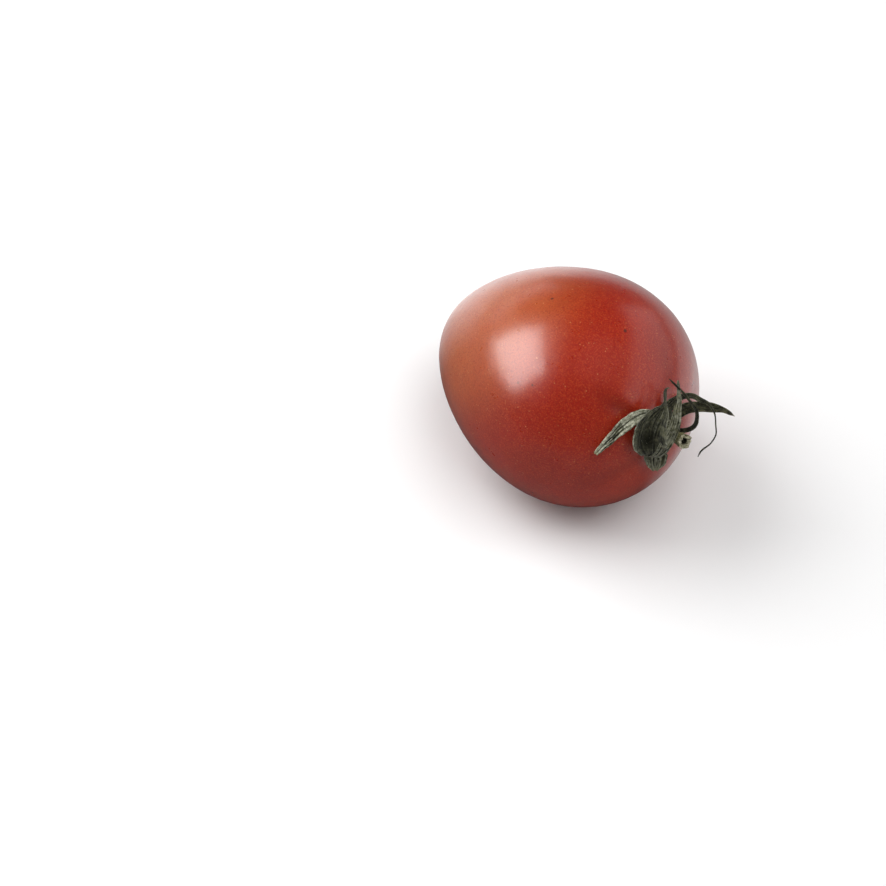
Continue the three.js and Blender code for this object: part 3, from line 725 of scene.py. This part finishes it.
def blade(sepal, seed):
    """One sepal: points in the fruit's millimetres from the dimple, faces, uv and values."""
    value, along, length = blade_rows(sepal)
    count = len(value)
    facing = value[:, 4:7]
    face = unit(facing - (facing * along).sum(axis=1)[:, None] * along)
    across = np.cross(along, face)
    t = np.linspace(0, 1, count)
    v = np.linspace(-1, 1, BLADE_CELLS + 1)
    y = t * length
    tip_run = min(TIP_RUN / length, TIP_RUN_SHARE)
    half = value[:, 3] * (1 - (1 - sepal["tip"]) * smoothstep(t, 1 - tip_run, 1.0) ** 1.5)
    centre = value[:, None, :3] + across[:, None, :] * (half[:, None] * v[None, :])[:, :, None]
    lift = blade_lift(v, y, half, value[:, 7], centre.reshape(-1, 3), seed)
    middle = centre + face[:, None, :] * lift[:, :, None]

    # a ragged end
    fray = sines(v, FRAY_WAVES, seed)
    push = smoothstep(y, length - FRAY_RUN, length)[:, None] * fray[None, :] * np.minimum(half, 1.0)[:, None]
    middle = middle + along[:, None, :] * push[:, :, None]

    # half the thickness: thin at the tip and at both edges
    body = np.interp(t, *zip(*BLADE_BODY))
    thick = np.minimum(body, 0.7 * half + 0.04)[:, None] * (1 - EDGE_THINNING * v[None, :] ** 4)
    upper = middle + face[:, None, :] * thick[:, :, None]
    lower = middle - face[:, None, :] * thick[:, :, None]
    points = np.concatenate([upper.reshape(-1, 3), lower.reshape(-1, 3)])
    faces = outward(points, shell_faces(count, BLADE_CELLS))

    widest = half.max()
    uv = [(widest * v_here + UV_SPACING * seed, y_here) for y_here in y for v_here in v]
    dry_tip = np.repeat(smoothstep(y, length - DRY_TIP_RUN, length), len(v)) * sepal["dry_tip"]
    # a patch of painted shade, strongest down the middle of the blade
    strength, place, reach = sepal.get("hollow", NO_PAINTED_SHADE)
    hollow = strength * np.exp(-(((t - place) / reach) ** 2))[:, None] * (1 - v[None, :] ** 2)
    values = {"across": np.tile(v, 2 * count), "tip": np.tile(dry_tip, 2),
              "hollow": np.tile(hollow.ravel(), 2)}
    return points, faces, uv + uv, values


def knob():
    """The middle of the calyx, in the dimple."""
    sides, steps = 48, 40
    outline, _, _ = smooth_rows([(h, r, 0) for r, h in KNOB_OUTLINE], steps)
    turn = 2 * np.pi * np.arange(sides) / sides
    rings = []
    for h, r in outline[1:-1, :2]:
        lobed = r * (1 + KNOB_SWELL * np.cos(KNOB_LOBES * turn) * smoothstep(r, 1.5, 3.0))
        rings.append(np.stack([np.full(sides, h), lobed * np.sin(turn), lobed * np.cos(turn)], axis=1))
    points = np.concatenate(rings + [[[KNOB_OUTLINE[0][1], 0, 0]], [[KNOB_OUTLINE[-1][1], 0, 0]]])
    points = points + unevenness(points, KNOB_UNEVENNESS)[:, None] * unit(points + 1e-6)
    faces = outward(points, ring_faces(len(rings), sides, len(points) - 2, len(points) - 1))
    uv = [(math.hypot(p[1], p[2]), p[0]) for p in points]
    nothing = np.zeros(len(points))
    return points, faces, uv, {"across": nothing + KNOB_ACROSS, "tip": nothing, "hollow": nothing}


def make_calyx(leaf):
    parts = [(*blade(sepal, seed), PALENESS[name], VEINS_AND_RIM_LIGHT[name])
             for seed, (name, sepal) in enumerate(SEPALS.items(), start=1)]
    parts.append((*knob(), KNOB_PALENESS, 0.0))
    points, faces, uv = [], [], []
    values = {"paleness": [], "veins_and_rim_light": [], "across": [], "tip": [], "hollow": []}
    start = 0
    for part_points, part_faces, part_uv, part_values, paleness, veins_and_rim_light in parts:
        count = len(part_points)
        points.append(part_points)
        faces += [tuple(i + start for i in face) for face in part_faces]
        uv += part_uv
        start += count
        part_values = {**part_values, "paleness": [paleness] * count, "veins_and_rim_light": [veins_and_rim_light] * count}
        for key, numbers in part_values.items():
            values[key] += list(numbers)
    world = placed(np.concatenate(points), from_dimple=True)
    return mesh_piece("tomato_calyx", world, faces, leaf, uv=uv, values=values)


# The stalk


def make_stalk(bark):
    sides = 72
    value, along, length = smooth_rows(STALK_LINE, STALK_STEPS + 1)
    side = unit(np.array([0, 1, 0]) - along * along[:, 1:2])
    up = np.cross(along, side)
    turn = 2 * np.pi * np.arange(sides) / sides
    fluted = 1 + 0.05 * np.cos(5 * turn) + 0.02 * np.cos(11 * turn + 1)
    ragged, lip = sines(turn, RAGGED_WAVES), sines(turn, LIP_WAVES)
    # the fibres are a little darker on one side
    fibres = 0.75 + 0.25 * smoothstep(-np.cos(turn), -0.45, 0.55)
    rings, torn, pith_shade, ys = [], [], [], []

    def ring(step, radius, push, tear, hollow):
        """One ring of points, pushed along the stalk by a distance for each side."""
        r = radius * fluted
        rings.append(value[step, :3] + side[step] * (r * np.cos(turn))[:, None]
                     + up[step] * (r * np.sin(turn))[:, None] + along[step] * push[:, None])
        torn.append(tear * fibres)
        # how much painted shade darkens the hole at this ring
        pith_shade.append(np.full(sides, hollow))
        ys.append(length * step / STALK_STEPS + float(np.mean(push)))

    # the outside, with a flare at the knob and a low collar before the torn end
    for step in range(0, STALK_STEPS + 1, 2):
        flare = STALK_FLARE * math.exp(-step / SWELL_STEPS)
        collar = COLLAR_SWELL * math.exp(-(((step - COLLAR_STEP) / SWELL_STEPS) ** 2))
        near_end = float(smoothstep(step, TORN_FROM_STEP, STALK_STEPS))
        ring(step, value[step, 3] + flare + collar, ragged * near_end, 0.25 * near_end, 0)
    end = value[STALK_STEPS, 3]
    for share, raggedness, depth, lips, tear, hollow in TORN_RINGS:
        ring(STALK_STEPS, end * share, ragged * raggedness + depth + lip * lips, tear, hollow)
    for step, share, depth, tear in PITH_RINGS:
        ring(step, end * share, np.full(sides, depth), tear, 1)

    points = np.concatenate(rings + [[value[0, :3]], [value[PITH_FLOOR_STEP, :3]]])
    middles = np.repeat([r.mean(axis=0) for r in rings], sides, axis=0)
    outwards = unit(points - np.concatenate([middles, points[-2:]]) + 1e-9)
    points = points + outwards * unevenness(points, STALK_UNEVENNESS)[:, None]
    faces = outward(points, ring_faces(len(rings), sides, len(points) - 2, len(points) - 1))
    uv = [(1.5 * t, y) for y in ys for t in turn] + [(0, 0), (0, length)]
    spread = lambda numbers: np.concatenate(numbers + [[numbers[0][0], numbers[-1][0]]])
    return mesh_piece("tomato_stalk", placed(points, from_dimple=True), faces, bark, uv=uv,
                      values={"torn": spread(torn), "pith_shade": spread(pith_shade)})


# Hairs


def hair_tree(name, hair):
    """Geometry Nodes: fine tapering hairs scattered over a surface."""
    tree = bpy.data.node_groups.new(name, "GeometryNodeTree")
    face = tree.interface
    face.new_socket("Geometry", in_out="INPUT", socket_type="NodeSocketGeometry")
    for label, default in HAIR_SIZES.items():
        socket = face.new_socket(label, in_out="INPUT", socket_type="NodeSocketFloat")
        socket.default_value = default
    face.new_socket("Geometry", in_out="OUTPUT", socket_type="NodeSocketGeometry")
    nodes, links = tree.nodes, tree.links
    start = nodes.new("NodeGroupInput")
    end = nodes.new("NodeGroupOutput")

    scatter = nodes.new("GeometryNodeDistributePointsOnFaces")
    scatter.inputs["Seed"].default_value = SCATTER_SEED
    links.new(start.outputs["Geometry"], scatter.inputs["Mesh"])
    links.new(start.outputs["Hairs per square metre"], scatter.inputs["Density"])

    cone = nodes.new("GeometryNodeMeshCone")
    cone.inputs["Vertices"].default_value = 3
    cone.inputs["Radius Top"].default_value = HAIR_TIP_RADIUS
    links.new(start.outputs["Hair radius"], cone.inputs["Radius Bottom"])
    links.new(start.outputs["Hair length"], cone.inputs["Depth"])

    # each hair leans its own way
    lean = nodes.new("FunctionNodeRandomValue")
    lean.data_type = "FLOAT_VECTOR"
    lean.inputs["Seed"].default_value = LEAN_SEED
    lean.inputs[0].default_value = tuple(-most for most in HAIR_TURNS)
    lean.inputs[1].default_value = HAIR_TURNS
    scale_lean = nodes.new("ShaderNodeVectorMath")
    scale_lean.operation = "SCALE"
    links.new(lean.outputs[0], scale_lean.inputs[0])
    links.new(start.outputs["Lean"], scale_lean.inputs["Scale"])
    turn = nodes.new("FunctionNodeRotateEuler")
    turn.space = "LOCAL"
    links.new(scatter.outputs["Rotation"], turn.inputs[0])
    links.new(scale_lean.outputs[0], turn.inputs[1])

    # and has its own size
    size = nodes.new("FunctionNodeRandomValue")
    size.inputs["Seed"].default_value = SIZE_SEED
    size.inputs[2].default_value, size.inputs[3].default_value = HAIR_SIZE_RANGE

    plant = nodes.new("GeometryNodeInstanceOnPoints")
    links.new(scatter.outputs["Points"], plant.inputs["Points"])
    links.new(cone.outputs["Mesh"], plant.inputs["Instance"])
    links.new(turn.outputs[0], plant.inputs["Rotation"])
    links.new(size.outputs[1], plant.inputs["Scale"])
    real = nodes.new("GeometryNodeRealizeInstances")
    links.new(plant.outputs[0], real.inputs[0])
    paint = nodes.new("GeometryNodeSetMaterial")
    paint.inputs["Material"].default_value = hair
    links.new(real.outputs[0], paint.inputs["Geometry"])
    links.new(paint.outputs[0], end.inputs[0])
    return tree


def make_hairs(name, ground, tree, settings):
    """The hairs of one piece, as a plain mesh."""
    carrier = bpy.data.objects.new(name + "_carrier", ground.data.copy())
    bpy.context.scene.collection.objects.link(carrier)
    modifier = carrier.modifiers.new("hairs", "NODES")
    modifier.node_group = tree
    for item in tree.interface.items_tree:
        if item.in_out == "INPUT" and item.name in settings:
            modifier[item.identifier] = settings[item.name]
    evaluated = carrier.evaluated_get(bpy.context.evaluated_depsgraph_get())
    mesh = bpy.data.meshes.new_from_object(evaluated)
    mesh.name = name
    carrier.modifiers.remove(modifier)
    bpy.data.objects.remove(carrier)
    piece = bpy.data.objects.new(name, mesh)
    bpy.context.scene.collection.objects.link(piece)
    return piece


# Putting the pieces together

skin, leaf, bark, hair = tomato_skin(), dried_sepal(), stalk_skin(), pale_hair()
fruit = make_fruit(skin)
calyx = make_calyx(leaf)
stalk = make_stalk(bark)
hairs = hair_tree("fine_hairs", hair)
calyx_hairs = make_hairs("calyx_hairs", calyx, hairs, {**HAIR_SIZES, "Lean": CALYX_LEAN})
stalk_hairs = make_hairs("stalk_hairs", stalk, hairs, HAIR_SIZES)

for piece, name in ((fruit, "tomato_skin"), (calyx, "dried_sepal"), (stalk, "stalk"),
                    (calyx_hairs, "dried_sepal"), (stalk_hairs, "stalk")):
    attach(piece, "root")
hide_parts("fruit")
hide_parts("calyx")
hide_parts("stalk")


# The studio


def make_camera():
    """The camera at the photograph's viewing angle, framed as the photograph is."""
    right = np.array([math.cos(CAMERA_AZIMUTH), math.sin(CAMERA_AZIMUTH), 0])
    up = np.array([-math.sin(CAMERA_AZIMUTH) * math.sin(CAMERA_ELEVATION),
                   math.cos(CAMERA_AZIMUTH) * math.sin(CAMERA_ELEVATION), math.cos(CAMERA_ELEVATION)])
    back = np.cross(right, up)
    eye = (CENTRE - CAMERA_ASIDE * right - CAMERA_BELOW * up + CAMERA_DISTANCE * back) * MM
    data = bpy.data.cameras.new("camera")
    data.lens = CAMERA_LENS
    data.sensor_width = CAMERA_SENSOR
    data.clip_start = CAMERA_CLIP
    camera = bpy.data.objects.new("camera", data)
    camera.matrix_world = Matrix([[right[i], up[i], back[i], eye[i]] for i in range(3)] + [[0, 0, 0, 1]])
    bpy.context.scene.collection.objects.link(camera)
    return camera


def make_floor():
    """A round floor that fades out into the backdrop."""
    turns = 2 * np.pi * np.arange(FLOOR_SIDES) / FLOOR_SIDES
    points = [(0, 0, 0)] + [(r * math.cos(a), r * math.sin(a), 0) for r in FLOOR_RADII for a in turns]
    at = lambda ring, side: 1 + ring * FLOOR_SIDES + side % FLOOR_SIDES
    faces = [(0, at(0, side), at(0, side + 1)) for side in range(FLOOR_SIDES)]
    faces += [(at(ring, side), at(ring + 1, side), at(ring + 1, side + 1), at(ring, side + 1))
              for ring in range(len(FLOOR_RADII) - 1) for side in range(FLOOR_SIDES)]
    fade = 1 - smoothstep(np.array(FLOOR_RADII), FLOOR_RADII[0], FLOOR_RADII[-1])
    cover = np.concatenate([[1.0], np.repeat(fade, FLOOR_SIDES)])
    return mesh_piece("floor", points, faces, pale_floor(), values={"cover": cover})


def make_backdrop():
    """White where it is seen, while the light it gives is that of dim air."""
    world = bpy.data.worlds.new("studio")
    world.use_nodes = True
    nodes, links = world.node_tree.nodes, world.node_tree.links
    dim_air, white = nodes["Background"], nodes.new("ShaderNodeBackground")
    for background, strength in ((dim_air, AIR_STRENGTH), (white, 1.0)):
        background.inputs["Color"].default_value = (1, 1, 1, 1)
        background.inputs["Strength"].default_value = strength
    seen = nodes.new("ShaderNodeLightPath")
    either = nodes.new("ShaderNodeMixShader")
    links.new(seen.outputs["Is Camera Ray"], either.inputs[0])
    links.new(dim_air.outputs[0], either.inputs[1])
    links.new(white.outputs[0], either.inputs[2])
    links.new(either.outputs[0], nodes["World Output"].inputs["Surface"])
    return world


def softbox(name, azimuth, elevation, distance, wide, high, power, lights="all", roll=0):
    """A rectangular lamp seen from the fruit's middle in that direction."""
    data = bpy.data.lights.new(name, "AREA")
    data.shape = "RECTANGLE"
    data.size, data.size_y, data.energy = wide, high, power
    lamp = bpy.data.objects.new(name, data)
    a, e = math.radians(azimuth), math.radians(elevation)
    away = Vector((math.cos(a) * math.cos(e), math.sin(a) * math.cos(e), math.sin(e)))
    lamp.location = Vector(CENTRE * MM) + away * distance
    facing = (-away).to_track_quat("-Z", "Y") @ Quaternion((0, 0, 1), math.radians(roll))
    lamp.rotation_euler = facing.to_euler()
    lamp.visible_glossy = lights != "colour"
    lamp.visible_diffuse = lights != "gloss"
    bpy.context.scene.collection.objects.link(lamp)


def make_card():
    """A dark card on the floor, seen only in the gloss."""
    turns = np.linspace(-180, 180, CARD_STEPS + 1)
    cover = np.interp(turns, *zip(*CARD_COVER))
    points = [(r * math.cos(math.radians(a)), r * math.sin(math.radians(a)), CARD_HEIGHT)
              for a in turns for r in (CARD_NEAR, CARD_FAR)]
    faces = [(2 * i, 2 * i + 1, 2 * i + 3, 2 * i + 2) for i in range(CARD_STEPS)]
    card = mesh_piece("dark_card", points, faces, dark_card(), values={"cover": np.repeat(cover, 2)})
    card.visible_camera = False
    card.visible_diffuse = False
    card.visible_transmission = False
    card.visible_shadow = False
    return card


scene = bpy.context.scene
scene.camera = make_camera()
make_floor()
scene.world = make_backdrop()
scene.view_settings.view_transform = "Standard"
softbox("key", azimuth=-156, elevation=47, distance=0.7, wide=0.58, high=0.52, power=4.4, lights="colour")
softbox("key gleam", azimuth=-146, elevation=32, distance=0.7, wide=0.58, high=0.47, power=5.0,
        lights="gloss", roll=8)
softbox("side panel", azimuth=52, elevation=24, distance=0.8, wide=1.7, high=0.60, power=2.0)
softbox("back gleam", azimuth=163, elevation=7, distance=1.0, wide=0.7, high=0.24, power=0.45, lights="gloss")
softbox("overhead", azimuth=10, elevation=72, distance=1.2, wide=1.0, high=1.0, power=10.2, lights="colour")
make_card()
